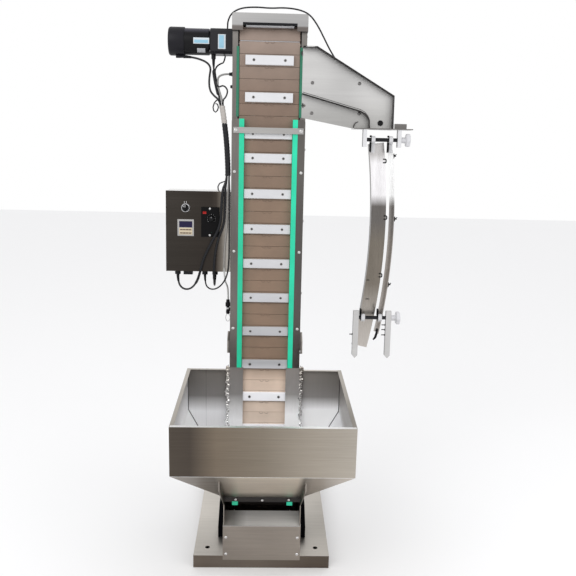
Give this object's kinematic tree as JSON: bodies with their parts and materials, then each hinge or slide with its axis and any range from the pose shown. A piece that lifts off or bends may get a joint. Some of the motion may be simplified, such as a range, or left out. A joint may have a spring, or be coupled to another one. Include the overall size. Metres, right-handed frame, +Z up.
{
  "type": "cap elevator",
  "caption": "Leaning cap elevator: a cleated slat chain lifts loose caps from a hopper to a side chute with curved guide rails.",
  "frame": {"origin": "on the floor under the middle of the machine's outline", "axes": "+X to the discharge side, +Y to the machine's back, +Z up"},
  "size_m": [0.785, 0.936, 1.8274],
  "materials": {
    "sheet_steel": "brushed stainless sheet, satin",
    "box_steel": "brushed stainless sheet, satin",
    "panel_steel": "dark brushed stainless sheet, glossy reflections",
    "bright_steel": "polished round bar",
    "slat_plastic": "tan acetal, satin",
    "cleat_plastic": "white acetal, satin",
    "strip_plastic": "green polyethylene, satin",
    "motor_paint": "black paint, satin",
    "black_plastic": "black plastic, satin",
    "block_plastic": "white nylon, satin",
    "foot_rubber": "black rubber block",
    "dark_steel": "dark round bar",
    "grey_plastic": "light grey plastic",
    "red_plastic": "red translucent plastic",
    "bearing_steel": "grey",
    "sprocket_plastic": "natural nylon",
    "cord_black": "black flexible jacket, satin",
    "tube_white": "white flexible tube"
  },
  "bodies": {
    "frame": {"base_pan": "sheet_steel", "boot_sides": "sheet_steel", "boot_face": "sheet_steel", "boot_floor": "sheet_steel", "boot_cover": "sheet_steel", "hopper_front": "sheet_steel", "hopper_side_left": "sheet_steel", "hopper_side_right": "sheet_steel", "hopper_back": "sheet_steel", "hopper_slope_front": "sheet_steel", "foot_blocks": "foot_rubber", "belt_guards": "sheet_steel", "column_sides": "sheet_steel", "column_back": "sheet_steel", "front_flanges": "sheet_steel", "strips_lower": "strip_plastic", "strips_upper": "strip_plastic", "crossbar": "sheet_steel", "column_spacers": "sheet_steel", "slide_rails": "cleat_plastic", "header_cover": "sheet_steel", "chain_slats": "slat_plastic", "cleats": "cleat_plastic", "bearings": "bearing_steel", "gearbox": "motor_paint", "motor_body": "motor_paint", "fan_cover": "motor_paint", "chute_plate": "sheet_steel", "chute_rib": "sheet_steel", "sensor": "bright_steel", "chute_shelf": "sheet_steel", "clamp_blocks": "block_plastic", "rod_upper": "dark_steel", "control_box": "box_steel", "box_panel": "panel_steel", "speed_unit": "black_plastic", "counter": "grey_plastic", "selector_bezel": "bright_steel", "box_glands": "black_plastic", "air_fittings": "black_plastic", "motor_lead": "cord_black", "gearbox_lead": "cord_black", "sensor_lead": "cord_black", "air_tube": "tube_white"},
    "head_drive": {"head_shaft": "bright_steel", "head_sprocket": "sprocket_plastic"},
    "tail_drive": {"tail_shaft": "bright_steel", "tail_sprocket": "sprocket_plastic"},
    "left_rail": {"rail_left": "sheet_steel", "rail_clamps_left": "block_plastic", "rod_lower": "dark_steel", "fork_arms": "block_plastic"},
    "right_rail": {"rail_right": "sheet_steel", "rail_clamps_right": "block_plastic"},
    "upper_knob": {"knob_upper": "block_plastic"},
    "lower_knob": {"knob_lower": "block_plastic"},
    "selector": {"selector_knob": "black_plastic"},
    "speed_dial": {"speed_knob": "black_plastic"},
    "rocker_key": {"rocker": "red_plastic"}
  },
  "joints": [
    {"name": "head_spin", "type": "hinge", "parent": "frame", "child": "head_drive", "pos_m": [-0.0635, 0.14855, 1.71636], "axis": [1, 0, 0], "continuous": true},
    {"name": "tail_spin", "type": "hinge", "parent": "frame", "child": "tail_drive", "pos_m": [-0.0635, 0.0668, 0.1564], "axis": [1, 0, 0], "continuous": true},
    {"name": "left_rail_slide", "type": "slide", "parent": "frame", "child": "left_rail", "axis": [1, 0, 0], "range_m": [-0.004, 0.004]},
    {"name": "right_rail_slide", "type": "slide", "parent": "frame", "child": "right_rail", "axis": [1, 0, 0], "range_m": [-0.003, 0.006]},
    {"name": "upper_knob_turn", "type": "hinge", "parent": "frame", "child": "upper_knob", "pos_m": [0.3585, 0.02221, 1.42647], "axis": [1, 0, 0], "range_deg": [0, 360]},
    {"name": "lower_knob_turn", "type": "hinge", "parent": "left_rail", "child": "lower_knob", "pos_m": [0.3535, -0.00799, 0.85027], "axis": [1, 0, 0], "range_deg": [0, 360]},
    {"name": "selector_turn", "type": "hinge", "parent": "frame", "child": "selector", "pos_m": [-0.3285, 0.03913, 1.19527], "axis": [0, 0.9986, -0.0523], "range_deg": [-45, 45]},
    {"name": "speed_turn", "type": "hinge", "parent": "frame", "child": "speed_dial", "pos_m": [-0.2445, 0.03741, 1.16232], "axis": [0, 0.9986, -0.0523], "range_deg": [-135, 135]},
    {"name": "rocker_press", "type": "hinge", "parent": "frame", "child": "rocker_key", "pos_m": [-0.2665, 0.04319, 1.18104], "axis": [1, 0, 0], "range_deg": [-10, 0]}
  ],
  "couplings": [
    {"joint": "tail_spin", "follows": "head_spin", "ratio": 1}
  ]
}
